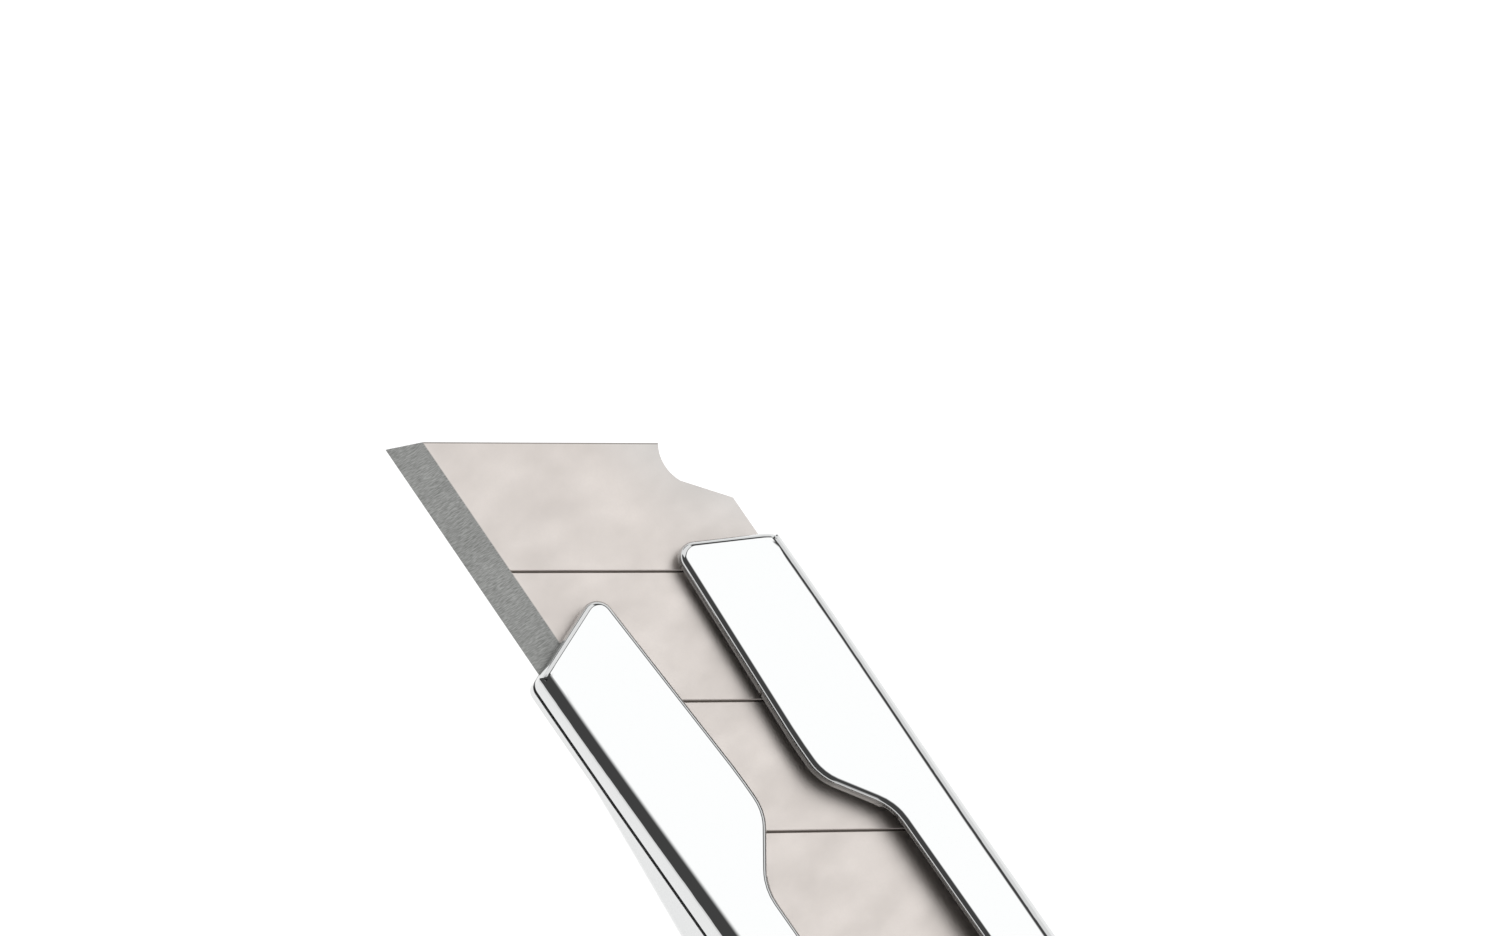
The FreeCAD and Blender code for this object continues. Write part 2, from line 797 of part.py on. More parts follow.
def slider_saddle():
    """Thumb slider: a stem in the slot and a ribbed plate over the front face."""
    half = saddle_width / 2
    outline = [(saddle_start, -half), (saddle_end, -half), (saddle_end, half), (saddle_start, half)]
    plate = rounded_prism(outline, [saddle_corner] * 4, saddle_floor, saddle_top)
    top_edges = [edge for edge in plate.Edges if min(v.Z for v in edge.Vertexes) > saddle_top - 0.01]
    plate = plate.makeFillet(saddle_edge, top_edges)
    stem_half = slot_width / 2 - stem_clearance
    stem = round_ended(stem_start, stem_end, stem_half, carrier_sheet, saddle_floor + stem_root)
    nut_half = nut_size / 2 + nut_clearance
    nut_pocket = block(wheel_station - nut_half, wheel_station + nut_half, -nut_half, nut_half,
                       carrier_sheet - past, carrier_sheet + nut_height + pocket_clearance)
    peg_pocket = upright_cylinder(peg_station, peg_offset, peg_head_radius + pocket_clearance,
                                  carrier_sheet - past, carrier_sheet + peg_head_height + pocket_clearance)
    clear = saddle_top + past
    stud_hole = upright_cylinder(wheel_station, 0, stud_radius + stud_clearance, 0, clear)
    seat = upright_cylinder(wheel_station, 0, wheel_radius + wheel_seat, saddle_top - wheel_seat, clear)
    seat = seat.cut(upright_cylinder(wheel_station, 0, washer_radius + wheel_seat, 0, clear))
    shape = fuse([plate, stem]).cut(nut_pocket).cut(peg_pocket).cut(stud_hole).cut(seat)
    return fuse([shape] + thumb_ribs())


def thumb_ribs():
    """Cross ribs in front of and behind the wheel."""
    ribs = []
    half = saddle_width / 2 - thumb_rib_inset
    for side in (-1, 1):
        for index in range(thumb_rib_count):
            reach = wheel_radius + thumb_rib_inset + index * thumb_rib_pitch
            centre = wheel_station + side * reach
            start = centre - thumb_rib_width / 2
            top = saddle_top + thumb_rib_height
            ribs.append(block(start, start + thumb_rib_width, -half, half, saddle_top - sink, top))
    return ribs


def spring_washer():
    ring = upright_cylinder(wheel_station, 0, washer_radius, saddle_top, wheel_floor)
    return ring.cut(upright_cylinder(wheel_station, 0, stud_radius + washer_bore_clearance, 0, wheel_top))


def lock_wheel():
    """Scalloped wheel with a recess for its cap and a bore for the stud."""
    disc = upright_cylinder(wheel_station, 0, wheel_radius, wheel_floor, wheel_top)
    rims = [edge for edge in disc.Edges if edge.Closed]
    disc = disc.makeFillet(wheel_edge, rims)
    for index in range(wheel_scallops):
        turn = 2 * math.pi * index / wheel_scallops
        reach = wheel_radius + scallop_radius * scallop_offset
        centre = (wheel_station + reach * math.cos(turn), reach * math.sin(turn))
        low, high = wheel_floor - past, wheel_top + past
        disc = disc.cut(upright_cylinder(centre[0], centre[1], scallop_radius, low, high))
    recess = upright_cylinder(wheel_station, 0, wheel_cap_radius + fit_gap, wheel_top - wheel_cap_height,
                              wheel_top + past)
    return disc.cut(recess).cut(wheel_stud())


def wheel_stud():
    """Threaded stud with a head moulded into the wheel."""
    head_low = wheel_floor + stud_head_floor
    head_high = wheel_top - wheel_cap_height - stud_head_cover
    shank = upright_cylinder(wheel_station, 0, stud_radius, carrier_sheet + stud_lift, head_high)
    head = upright_cylinder(wheel_station, 0, stud_radius + stud_head_rim, head_low, head_high)
    return fuse([shank, head])


def wheel_cap():
    low = wheel_top - wheel_cap_height
    disc = upright_cylinder(wheel_station, 0, wheel_cap_radius, low, wheel_top + wheel_cap_proud)
    top = [edge for edge in disc.Edges if min(v.Z for v in edge.Vertexes) > wheel_top]
    return disc.makeFillet(wheel_cap_edge, top)


def nose_boss():
    """Block on the rear shell's floor that carries the leaf spring."""
    start = nose_spring_end - nose_spring_foot
    floor = -belly_depth(start) + belly_wall - sink
    half = nose_spring_width / 2
    return block(start, nose_spring_end, -half, half, floor, -nose_spring_drop)


def nose_spring():
    """Leaf that presses the blade up against the lips: a foot on the boss and a rising arm."""
    knee = nose_spring_end - nose_spring_foot
    foot = -nose_spring_drop
    touch = channel_floor - fit_gap
    crown = nose_spring_start + nose_spring_lip
    tip = touch - nose_spring_dip
    outline = [(nose_spring_end, foot), (nose_spring_end, foot + spring_sheet), (knee, foot + spring_sheet),
               (crown, touch), (nose_spring_start, tip), (nose_spring_start, tip - spring_sheet),
               (crown, touch - spring_sheet), (knee, foot)]
    leaf = side_prism(outline, nose_spring_width / 2)
    return leaf.cut(nose_rivet_shank(fit_gap))


def nose_rivet_shank(grow):
    station = nose_spring_end - nose_spring_foot / 2
    top = -nose_spring_drop + spring_sheet
    return upright_cylinder(station, 0, rivet_radius + grow, top - rivet_length - grow, top)


def nose_rivet():
    """Rivet through the leaf spring's foot."""
    station = nose_spring_end - nose_spring_foot / 2
    top = -nose_spring_drop + spring_sheet
    head = upright_cylinder(station, 0, rivet_head_radius, top, top + rivet_head_height)
    return fuse([nose_rivet_shank(0), head])


def end_cap_form():
    """Outer form of the cap, the handle's own section with rounded rear corners."""
    front = front_form(cap_start, cap_end)
    belly = belly_form(cap_start, cap_end)
    rim = outline_form(cap_start, cap_end, 0.0, -rim_depth, parting)
    form = fuse([front, rim, belly])
    half = handle_half + past
    front = cap_start - past
    outline = [(front, -half), (cap_end, -half), (cap_end, half), (front, half)]
    form = form.common(rounded_prism(outline, [0, cap_corner + past, cap_corner + past, 0], -far, far))
    rear = [edge for edge in form.Edges if max(v.X for v in edge.Vertexes) < -cap_end + 0.01]
    return form.makeFillet(cap_edge, rear)


def cap_grooves():
    """Finger grooves across both flanks of the cap."""
    grooves = []
    flank = handle_half - belly_inset
    for side in (-1, 1):
        for index in range(cap_groove_count):
            start = cap_start + cap_groove_first + index * cap_groove_pitch
            ys = sorted((side * (flank - cap_groove_depth), side * (flank + margin)))
            low, high = cap_groove_low - handle_depth, -rim_depth - cap_groove_high
            grooves.append(block(start, start + cap_groove_width, ys[0], ys[1], low, high))
    return grooves


def end_cap():
    form = end_cap_form()
    hollow = block(cap_start - past, cap_start + cap_hollow, -bay_half, bay_half, cap_floor - handle_depth,
                   face_at_handle - cap_wall)
    form = form.cut(hollow)
    gap = tongue_gap
    start = cap_start - cap_gap - tongue_length
    high = rail_lip + fit_gap - gap
    half = rail_half + fit_gap - gap
    upper = block(start, cap_start + past, -half, half, high - upper_tongue, high)
    floor = -handle_depth + belly_wall + gap
    half = bay_half - gap - lower_tongue_inset
    lower = block(start, cap_start + past, -half, half, floor, floor + lower_tongue)
    form = fuse([form, upper, lower])
    slit = block(cap_end - snap_slit_depth, cap_end + past, -snap_slit_width / 2, snap_slit_width / 2,
                 -snap_slit_drop - snap_slit, -snap_slit_drop)
    form = form.cut(slit)
    for groove in cap_grooves():
        form = form.cut(groove)
    start = point(cap_end - lanyard_from_end, -far / 2, -lanyard_drop)
    return form.cut(Part.makeCylinder(lanyard_radius, far, start, Vector(0, 1, 0)))


def export(name, shape):
    """Write one node in the part's frame: origin at the centre of the underside."""
    placed = shape.copy()
    placed.translate(Vector((chip_station + cap_end) / 2, 0, handle_depth))
    placed.exportStep(os.path.join("parts", name + ".step"))
    box = placed.BoundBox
    print("%-22s valid %s solids %d volume %9.2f  x %.2f %.2f  y %.2f %.2f  z %.2f %.2f" % (
        name, placed.isValid(), len(placed.Solids), placed.Volume,
        box.XMin, box.XMax, box.YMin, box.YMax, box.ZMin, box.ZMax))


def main():
    os.makedirs("parts", exist_ok=True)
    export("front_shell", front_shell())
    export("rear_shell", rear_shell())
    export("grip_pad_edge_side", grip_pad(1))
    export("grip_pad_spine_side", grip_pad(-1))
    export("back_pad", back_pad())
    export("body_screws", body_screws())
    export("blade", blade_solid())
    export("blade_carrier", blade_carrier())
    export("carrier_peg", carrier_peg())
    export("carrier_nut", carrier_nut())
    export("slider_saddle", slider_saddle())
    export("spring_washer", spring_washer())
    export("lock_wheel", lock_wheel())
    export("wheel_stud", wheel_stud())
    export("wheel_cap", wheel_cap())
    export("guide_rail", guide_rail())
    export("spare_blades", spare_blades())
    export("spare_blade_spring", spare_spring())
    export("blade_leaf_spring", nose_spring())
    export("leaf_spring_rivet", nose_rivet())
    export("end_cap", end_cap())


main()
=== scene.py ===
"""Looks of a snap-off utility knife: a chromed two-shell body, a satin steel blade and black grips.

Each sub-assembly is a class that finishes its own pieces. Names ending in _mm are millimetres, and a
station is a distance in millimetres behind the blade's unbroken point; other lengths are metres. The
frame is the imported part's own: +X to the blade's point, +Y to its cutting edge, +Z out of the slotted
front face.
"""
from __future__ import annotations

import json
import logging
import math
from dataclasses import dataclass, field
from enum import Enum

import bmesh
import bpy
from mathutils import Matrix, Vector
from mathutils.kdtree import KDTree

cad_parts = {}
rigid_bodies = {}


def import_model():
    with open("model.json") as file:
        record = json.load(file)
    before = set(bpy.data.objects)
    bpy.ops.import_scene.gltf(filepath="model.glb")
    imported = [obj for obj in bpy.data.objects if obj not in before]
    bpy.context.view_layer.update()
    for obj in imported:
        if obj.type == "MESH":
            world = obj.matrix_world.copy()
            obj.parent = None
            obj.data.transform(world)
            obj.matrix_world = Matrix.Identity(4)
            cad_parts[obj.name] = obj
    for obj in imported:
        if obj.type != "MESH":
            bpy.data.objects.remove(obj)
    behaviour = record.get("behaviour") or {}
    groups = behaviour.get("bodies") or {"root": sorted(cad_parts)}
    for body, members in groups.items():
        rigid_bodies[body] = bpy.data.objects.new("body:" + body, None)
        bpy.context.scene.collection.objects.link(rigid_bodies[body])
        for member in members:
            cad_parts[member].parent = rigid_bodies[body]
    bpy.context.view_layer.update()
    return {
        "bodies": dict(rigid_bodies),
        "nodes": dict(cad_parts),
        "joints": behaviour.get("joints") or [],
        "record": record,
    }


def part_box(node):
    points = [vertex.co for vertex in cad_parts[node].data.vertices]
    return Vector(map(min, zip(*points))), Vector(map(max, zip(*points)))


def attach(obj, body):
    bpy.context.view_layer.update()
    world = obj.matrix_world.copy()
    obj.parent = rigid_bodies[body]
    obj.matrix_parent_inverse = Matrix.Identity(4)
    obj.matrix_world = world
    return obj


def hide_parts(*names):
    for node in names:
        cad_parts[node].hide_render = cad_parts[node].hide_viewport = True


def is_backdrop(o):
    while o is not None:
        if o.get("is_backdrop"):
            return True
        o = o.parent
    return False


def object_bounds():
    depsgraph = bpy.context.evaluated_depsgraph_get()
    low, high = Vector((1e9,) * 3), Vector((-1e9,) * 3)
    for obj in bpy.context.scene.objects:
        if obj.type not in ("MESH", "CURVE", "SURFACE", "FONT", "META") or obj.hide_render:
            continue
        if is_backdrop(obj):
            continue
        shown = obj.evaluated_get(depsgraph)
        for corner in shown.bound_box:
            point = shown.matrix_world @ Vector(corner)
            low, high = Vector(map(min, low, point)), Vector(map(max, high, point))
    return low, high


LOG = logging.getLogger("utility_knife")
MM = 0.001
ROUNDED = "rounded_edges"
SHOULDER = "shoulder_faces"


class Axis(Enum):
    """Direction that a metal's grinding or rolling marks run in."""

    ALONG_KNIFE = 0
    ACROSS_KNIFE = 1
    UPRIGHT = 2


def linear(colour: str) -> tuple[float, float, float, float]:
    """Turn an sRGB hex colour to linear RGBA.

    Args:
        colour: Six hex digits with a leading #.

    Returns:
        The linear red, green, blue and an alpha of one.
    """
    parts = [int(colour[i:i + 2], 16) / 255 for i in (1, 3, 5)]
    low, power = 0.04045, 2.4
    red, green, blue = [c / 12.92 if c <= low else ((c + 0.055) / 1.055) ** power for c in parts]
    return red, green, blue, 1.0


def add_node(tree: bpy.types.NodeTree, kind: str, inputs: dict[str | int, object] | None = None,
             **settings: str) -> bpy.types.Node:
    """Add a shader node with its settings and links.

    Args:
        tree: Node tree that receives the node.
        kind: Node type, such as ShaderNodeMath.
        inputs: Input name or number to a value, an output socket, or a node whose first output feeds it.
        **settings: Properties of the node itself.

    Returns:
        The new node.
    """
    node = tree.nodes.new(kind)
    for name, value in settings.items():
        setattr(node, name, value)
    for key, value in (inputs or {}).items():
        if isinstance(value, bpy.types.Node):
            value = value.outputs[0]
        if isinstance(value, bpy.types.NodeSocket):
            tree.links.new(value, node.inputs[key])
        else:
            node.inputs[key].default_value = value
    return node


@dataclass(frozen=True)
class Knife:
    """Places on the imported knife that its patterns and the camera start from.

    Attributes:
        point_x_mm: Where the blade's point would be if it weren't broken.
        edge_y_mm: The cutting edge.
        blade_z_mm: The blade's slotted-side face.
    """

    point_x_mm: float
    edge_y_mm: float
    blade_z_mm: float

    @classmethod
    def from_frame(cls, chip_mm: float = 0.5, digits: int = 3) -> Knife:
        """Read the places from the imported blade.

        Args:
            chip_mm: Length broken off the blade's point.
            digits: Decimals kept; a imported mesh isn't finer than a micrometre.

        Returns:
            The places.
        """
        x, y, z = (round(value / MM, digits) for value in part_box("blade")[1])
        return cls(x + chip_mm, y, z)


@dataclass(frozen=True)
class Finish:
    """A material with its own surface pattern; subclasses add the pattern.

    Attributes:
        name: What the real material and its making are called.
        colour: Its sRGB hex colour.
        roughness: Its middle roughness.
        metallic: One for metals, zero for plastics and rubber.
        sockets: Other shader inputs that are the same all over, by name.
    """

    name: str
    colour: str
    roughness: float
    metallic: float = 1.0
    sockets: tuple[tuple[str, float], ...] = ()

    def build(self) -> bpy.types.Material:
        """Make the Blender material.

        Returns:
            The material, with its shader and pattern.
        """
        material = bpy.data.materials.new(self.name)
        material.use_nodes = True
        tree = material.node_tree
        tree.nodes.clear()
        shader = add_node(tree, "ShaderNodeBsdfPrincipled", {
            "Base Color": linear(self.colour), "Metallic": self.metallic, "Roughness": self.roughness,
            **dict(self.sockets)})
        add_node(tree, "ShaderNodeOutputMaterial", {"Surface": shader})
        self.pattern(tree, shader, add_node(tree, "ShaderNodeTexCoord").outputs["Object"])
        return material

    def pattern(self, tree: bpy.types.NodeTree, shader: bpy.types.Node, where: bpy.types.NodeSocket) -> None:
        """Add the surface's pattern to the shader.

        Args:
            tree: The material's node tree.
            shader: Its Principled shader.
            where: Object coordinates in metres.
        """

    def blotches(self, tree: bpy.types.NodeTree, where: bpy.types.NodeSocket, size_mm: float,
                 stretch: tuple[float, float, float] = (1, 1, 1), detail: float = 3.0) -> bpy.types.Node:
        """Add noise of a real size.

        Args:
            tree: The material's node tree.
            where: Object coordinates in metres.
            size_mm: Size of the noise's blotches.
            stretch: How much longer they are along each axis.
            detail: Octaves of finer noise.

        Returns:
            The noise node, whose first output is 0 to 1 and mostly 0.3 to 0.7.
        """
        scale = tuple(1 / (size_mm * MM * s) for s in stretch)
        mapped = add_node(tree, "ShaderNodeMapping", {"Vector": where, "Scale": scale})
        return add_node(tree, "ShaderNodeTexNoise", {"Vector": mapped, "Scale": 1.0, "Detail": detail})

    def spread(self, tree: bpy.types.NodeTree, noise: bpy.types.Node, low: float,
               high: float) -> bpy.types.Node:
        """Stretch a noise's usual range of 0.3 to 0.7 to a range of one's own.

        Args:
            tree: The material's node tree.
            noise: Noise node.
            low: Value at 0.3 and under.
            high: Value at 0.7 and over.

        Returns:
            The node with the stretched value.
        """
        return add_node(tree, "ShaderNodeMapRange", {
            "Value": noise, "From Min": 0.3, "From Max": 0.7, "To Min": low, "To Max": high})

    def relief(self, tree: bpy.types.NodeTree, shader: bpy.types.Node, height: bpy.types.Node,
               depth_mm: float) -> None:
        """Raise and sink the surface by a pattern.

        Args:
            tree: The material's node tree.
            shader: Its Principled shader.
            height: Node with the pattern, 0 to 1.
            depth_mm: Its depth.
        """
        bump = add_node(tree, "ShaderNodeBump", {"Height": height, "Distance": depth_mm * MM})
        tree.links.new(bump.outputs["Normal"], shader.inputs["Normal"])


@dataclass(frozen=True)
class ChromePlate(Finish):
    """Chrome over polished zinc casting: a near-perfect mirror with a faint waviness and wiped smears.

    The groove between the shells is too narrow for the polishing wheel, so it is dull; its dark colour is
    painted shade of the gap.

    Attributes:
        smear_mm: Size of the smears left by wiping.
        wave_mm: Size of the casting's slow unevenness left by polishing.
        wave_depth_mm: Its depth.
        seam_z_mm: Middle of the groove between the shells.
        seam_mm: Height of that groove.
        seam_shade_colour: Its dark colour, painted shade of the gap between the shells.
        seam_roughness: Its roughness.
    """

    smear_mm: float = 7.0
    wave_mm: float = 5.0
    wave_depth_mm: float = 0.004
    seam_z_mm: float = 10.25
    seam_mm: float = 0.45
    # Painted shade: the dark colour of the gap between the shells.
    seam_shade_colour: str = "#3A3A3A"
    seam_roughness: float = 0.5

    def pattern(self, tree: bpy.types.NodeTree, shader: bpy.types.Node, where: bpy.types.NodeSocket) -> None:
        """Add smears to the roughness, slow waves to the surface and the dull seam.

        Args:
            tree: The material's node tree.
            shader: Its Principled shader.
            where: Object coordinates in metres.
        """
        smears = self.blotches(tree, where, self.smear_mm, (2.5, 1, 1))
        polished = self.spread(tree, smears, self.roughness * 0.7, self.roughness * 1.6)
        height = add_node(tree, "ShaderNodeSeparateXYZ", {0: where}).outputs["Z"]
        offset = add_node(tree, "ShaderNodeMath", {0: height, 1: self.seam_z_mm * MM}, operation="SUBTRACT")
        distance = add_node(tree, "ShaderNodeMath", {0: offset}, operation="ABSOLUTE")
        edge = self.seam_mm / 2 * MM
        in_seam = add_node(tree, "ShaderNodeMapRange", {
            "Value": distance, "From Min": edge * 0.85, "From Max": edge * 0.99, "To Min": 1, "To Max": 0})
        rough = add_node(tree, "ShaderNodeMix", {0: in_seam, 2: polished, 3: self.seam_roughness})
        tree.links.new(rough.outputs[0], shader.inputs["Roughness"])
        # Painted shade: the groove between the shells gets a dark colour in place of the shadow in the gap.
        tone = add_node(tree, "ShaderNodeMix", {
            0: in_seam, 6: linear(self.colour), 7: linear(self.seam_shade_colour)}, data_type="RGBA")
        tree.links.new(tone.outputs[2], shader.inputs["Base Color"])
        waves = self.blotches(tree, where, self.wave_mm, (1.6, 1, 1), 1.0)
        self.relief(tree, shader, waves, self.wave_depth_mm)


@dataclass(frozen=True)
class WorkedMetal(Finish):
    """Rolled, turned or ground metal: a soft sheen drawn out by fine marks along one direction.

    Attributes:
        marks: Direction of the marks.
        mark_mm: Width of a mark; real ones are finer, this is as coarse as shows.
        mark_length: How many times longer than wide a mark is.
        mark_depth_mm: Their depth.
    """

    marks: Axis = Axis.ALONG_KNIFE
    mark_mm: float = 0.08
    mark_length: float = 40.0
    mark_depth_mm: float = 0.0015

    def pattern(self, tree: bpy.types.NodeTree, shader: bpy.types.Node, where: bpy.types.NodeSocket) -> None:
        """Add marks to roughness and surface.

        Args:
            tree: The material's node tree.
            shader: Its Principled shader.
            where: Object coordinates in metres.
        """
        stretch = [1.0, 1.0, 1.0]
        stretch[self.marks.value] = self.mark_length
        marks = self.blotches(tree, where, self.mark_mm, tuple(stretch), 2.0)
        uneven = self.spread(tree, marks, self.roughness * 0.75, self.roughness * 1.3)
        tree.links.new(uneven.outputs[0], shader.inputs["Roughness"])
        self.relief(tree, shader, marks, self.mark_depth_mm)


@dataclass(frozen=True)
class BladeSteel(Finish):
    """Satin ground carbon steel: warm grey flats, a darker scratched bevel and pressed score lines.

    Attributes:
        shade_colour: The flat's darker mottling.
        cool_colour: Tint of the flat towards the front spine corner.
        bevel_colour: Colour of the ground bevel.
        scratch_colour: Colour of its lighter grinding scratches.
        score_shade_colour: Painted shade inside the score lines' grooves, a darker colour.
        point_x_mm: Place of the blade's unbroken point.
        edge_y_mm: Place of the cutting edge.
        bevel_mm: Width of the ground bevel.
        bevel_blur_mm: How softly the bevel meets the flat, each way.
        slant: How far back a score line goes per millimetre from edge to spine.
        pitch_mm: Distance between score lines.
        score_mm: Width of a score line.
        cool_rise_mm: Distances from the edge between which the cool tint starts.
        cool_fall_mm: Distances along the blade between which it ends.
        scratch_mm: Width of a bevel scratch; real ones are finer, this is as coarse as shows.
        bevel_smoother: How much less rough the bevel is than the flat.
        relief_mm: Depth of grain and scratches.
    """

    shade_colour: str = "#D6CFCA"
    cool_colour: str = "#C9CBCB"
    bevel_colour: str = "#7C7D7B"
    scratch_colour: str = "#A3A4A2"
    # Painted shade: a darker colour inside the score lines' grooves.
    score_shade_colour: str = "#8C8681"
    point_x_mm: float = 0.0
    edge_y_mm: float = 0.0
    bevel_mm: float = 2.3
    bevel_blur_mm: float = 0.03
    slant: float = 0.57735
    pitch_mm: float = 10.0
    score_mm: float = 0.17
    cool_rise_mm: tuple[float, float] = (11.5, 19.0)
    cool_fall_mm: tuple[float, float] = (-2.0, 9.0)
    scratch_mm: float = 0.04
    bevel_smoother: float = 0.05
    relief_mm: float = 0.0015

    def pattern(self, tree: bpy.types.NodeTree, shader: bpy.types.Node, where: bpy.types.NodeSocket) -> None:
        """Mix the satin flat, the ground bevel and the score lines by place on the blade.

        Args:
            tree: The material's node tree.
            shader: Its Principled shader.
            where: Object coordinates in metres.
        """
        place = add_node(tree, "ShaderNodeSeparateXYZ", {0: where}).outputs
        from_edge = add_node(tree, "ShaderNodeMath", {0: self.edge_y_mm * MM, 1: place["Y"]},
                             operation="SUBTRACT")
        behind = add_node(tree, "ShaderNodeMath", {0: self.point_x_mm * MM, 1: place["X"]},
                          operation="SUBTRACT")
        shift = add_node(tree, "ShaderNodeMath", {0: from_edge, 1: self.slant}, operation="MULTIPLY")
        along = add_node(tree, "ShaderNodeMath", {0: behind, 1: shift}, operation="SUBTRACT")
        on_bevel = add_node(tree, "ShaderNodeMapRange", {
            "Value": from_edge, "From Min": (self.bevel_mm - self.bevel_blur_mm) * MM,
            "From Max": (self.bevel_mm + self.bevel_blur_mm) * MM, "To Min": 1, "To Max": 0})
        mottle = self.blotches(tree, where, 2.2, (1, 1.6, 1), 5.0)
        grain = self.blotches(tree, where, 0.06, (25, 1, 1), 2.0)
        scratches = self.blotches(tree, where, self.scratch_mm, (1, 35, 1), 1.0)
        ground = add_node(tree, "ShaderNodeMix", {
            0: self.spread(tree, scratches, 0, 1), 6: linear(self.bevel_colour),
            7: linear(self.scratch_colour)}, data_type="RGBA")
        flat = self.flat_tone(tree, where, mottle, from_edge, along)
        steel = add_node(tree, "ShaderNodeMix", {
            0: on_bevel, 6: flat, 7: ground.outputs[2]}, data_type="RGBA")
        # Painted shade: the score lines' grooves get a darker colour.
        scored = add_node(tree, "ShaderNodeMix", {
            0: self.score_lines(tree, along, on_bevel), 6: steel.outputs[2],
            7: linear(self.score_shade_colour)}, data_type="RGBA")
        tree.links.new(scored.outputs[2], shader.inputs["Base Color"])
        satin = self.spread(tree, mottle, self.roughness * 0.95, self.roughness * 1.08)
        finer = add_node(tree, "ShaderNodeMath", {0: on_bevel, 1: -self.bevel_smoother},
                         operation="MULTIPLY")
        rough = add_node(tree, "ShaderNodeMath", {0: satin, 1: finer}, operation="ADD")
        tree.links.new(rough.outputs[0], shader.inputs["Roughness"])
        height = add_node(tree, "ShaderNodeMix", {0: on_bevel, 2: grain, 3: scratches})
        self.relief(tree, shader, height, self.relief_mm)

    def flat_tone(self, tree: bpy.types.NodeTree, where: bpy.types.NodeSocket, mottle: bpy.types.Node,
                  from_edge: bpy.types.Node, along: bpy.types.Node) -> bpy.types.NodeSocket:
        """Mix the flat's mottling, speckle and cool corner.

        Args:
            tree: The material's node tree.
            where: Object coordinates in metres.
            mottle: Noise of the mottling.
            from_edge: Distance from the cutting edge.
            along: Distance behind the slanted front.

        Returns:
            The socket with the flat's colour.
        """
        speckle = self.blotches(tree, where, 0.12, detail=2.0)
        mottled = add_node(tree, "ShaderNodeMix", {
            0: self.spread(tree, mottle, 0, 1), 6: linear(self.colour),
            7: linear(self.shade_colour)}, data_type="RGBA")
        speckled = add_node(tree, "ShaderNodeMix", {
            0: self.spread(tree, speckle, 0, 0.35), 6: mottled.outputs[2],
            7: linear(self.shade_colour)}, data_type="RGBA")
        start, end = self.cool_rise_mm
        outward = add_node(tree, "ShaderNodeMapRange", {
            "Value": from_edge, "From Min": start * MM, "From Max": end * MM})
        start, end = self.cool_fall_mm
        forward = add_node(tree, "ShaderNodeMapRange", {
            "Value": along, "From Min": start * MM, "From Max": end * MM, "To Min": 1, "To Max": 0})
        corner = add_node(tree, "ShaderNodeMath", {0: outward, 1: forward}, operation="MULTIPLY")
        return add_node(tree, "ShaderNodeMix", {
            0: corner, 6: speckled.outputs[2], 7: linear(self.cool_colour)}, data_type="RGBA").outputs[2]

    def score_lines(self, tree: bpy.types.NodeTree, along: bpy.types.Node,
                    on_bevel: bpy.types.Node) -> bpy.types.Node:
        """Mark the score lines, which stop at the bevel.

        Args:
            tree: The material's node tree.
            along: Distance behind the slanted front.
            on_bevel: One on the bevel, zero elsewhere.

        Returns:
            The node that is one inside a score line.
        """
        half_pitch = self.pitch_mm / 2 * MM
        nearest = add_node(tree, "ShaderNodeMath", {0: along, 1: half_pitch}, operation="PINGPONG")
        line = add_node(tree, "ShaderNodeMapRange", {
            "Value": nearest, "From Min": self.score_mm * 0.35 * MM, "From Max": self.score_mm * 0.6 * MM,
            "To Min": 1, "To Max": 0})
        off_bevel = add_node(tree, "ShaderNodeMath", {0: 1.0, 1: on_bevel}, operation="SUBTRACT")
        return add_node(tree, "ShaderNodeMath", {0: line, 1: off_bevel}, operation="MULTIPLY")


@dataclass(frozen=True)
class MouldedNylon(Finish):
    """Glass-filled nylon from a spark-eroded mould: dull black with a fine even grain.

    Attributes:
        light_colour: Colour of the grain's tops.
        grain_mm: Size of the grain; the real one is finer, this is as coarse as shows.
        grain_depth_mm: Its depth.
        handled_mm: Size of the areas that handling has made glossier.
    """

    metallic: float = 0.0
    light_colour: str = "#2E2E30"
    grain_mm: float = 0.18
    grain_depth_mm: float = 0.012
    handled_mm: float = 6.0

    def pattern(self, tree: bpy.types.NodeTree, shader: bpy.types.Node, where: bpy.types.NodeSocket) -> None:
        """Add the mould's grain and a slight change of gloss where it is handled.

        Args:
            tree: The material's node tree.
            shader: Its Principled shader.
            where: Object coordinates in metres.
        """
        grain = self.blotches(tree, where, self.grain_mm, detail=2.0)
        handled = self.blotches(tree, where, self.handled_mm)
        gloss = self.spread(tree, handled, self.roughness * 0.85, self.roughness * 1.15)
        tree.links.new(gloss.outputs[0], shader.inputs["Roughness"])
        tone = add_node(tree, "ShaderNodeMix", {
            0: self.spread(tree, grain, 0, 1), 6: linear(self.colour),
            7: linear(self.light_colour)}, data_type="RGBA")
        tree.links.new(tone.outputs[2], shader.inputs["Base Color"])
        self.relief(tree, shader, grain, self.grain_depth_mm)


@dataclass(frozen=True)
class GripRubber(MouldedNylon):
    """Moulded thermoplastic rubber: a softer sheen than nylon and a very fine matt grain."""

    sockets: tuple[tuple[str, float], ...] = (("Specular IOR Level", 0.35), ("Sheen Weight", 0.08))
    grain_mm: float = 0.12
    grain_depth_mm: float = 0.008


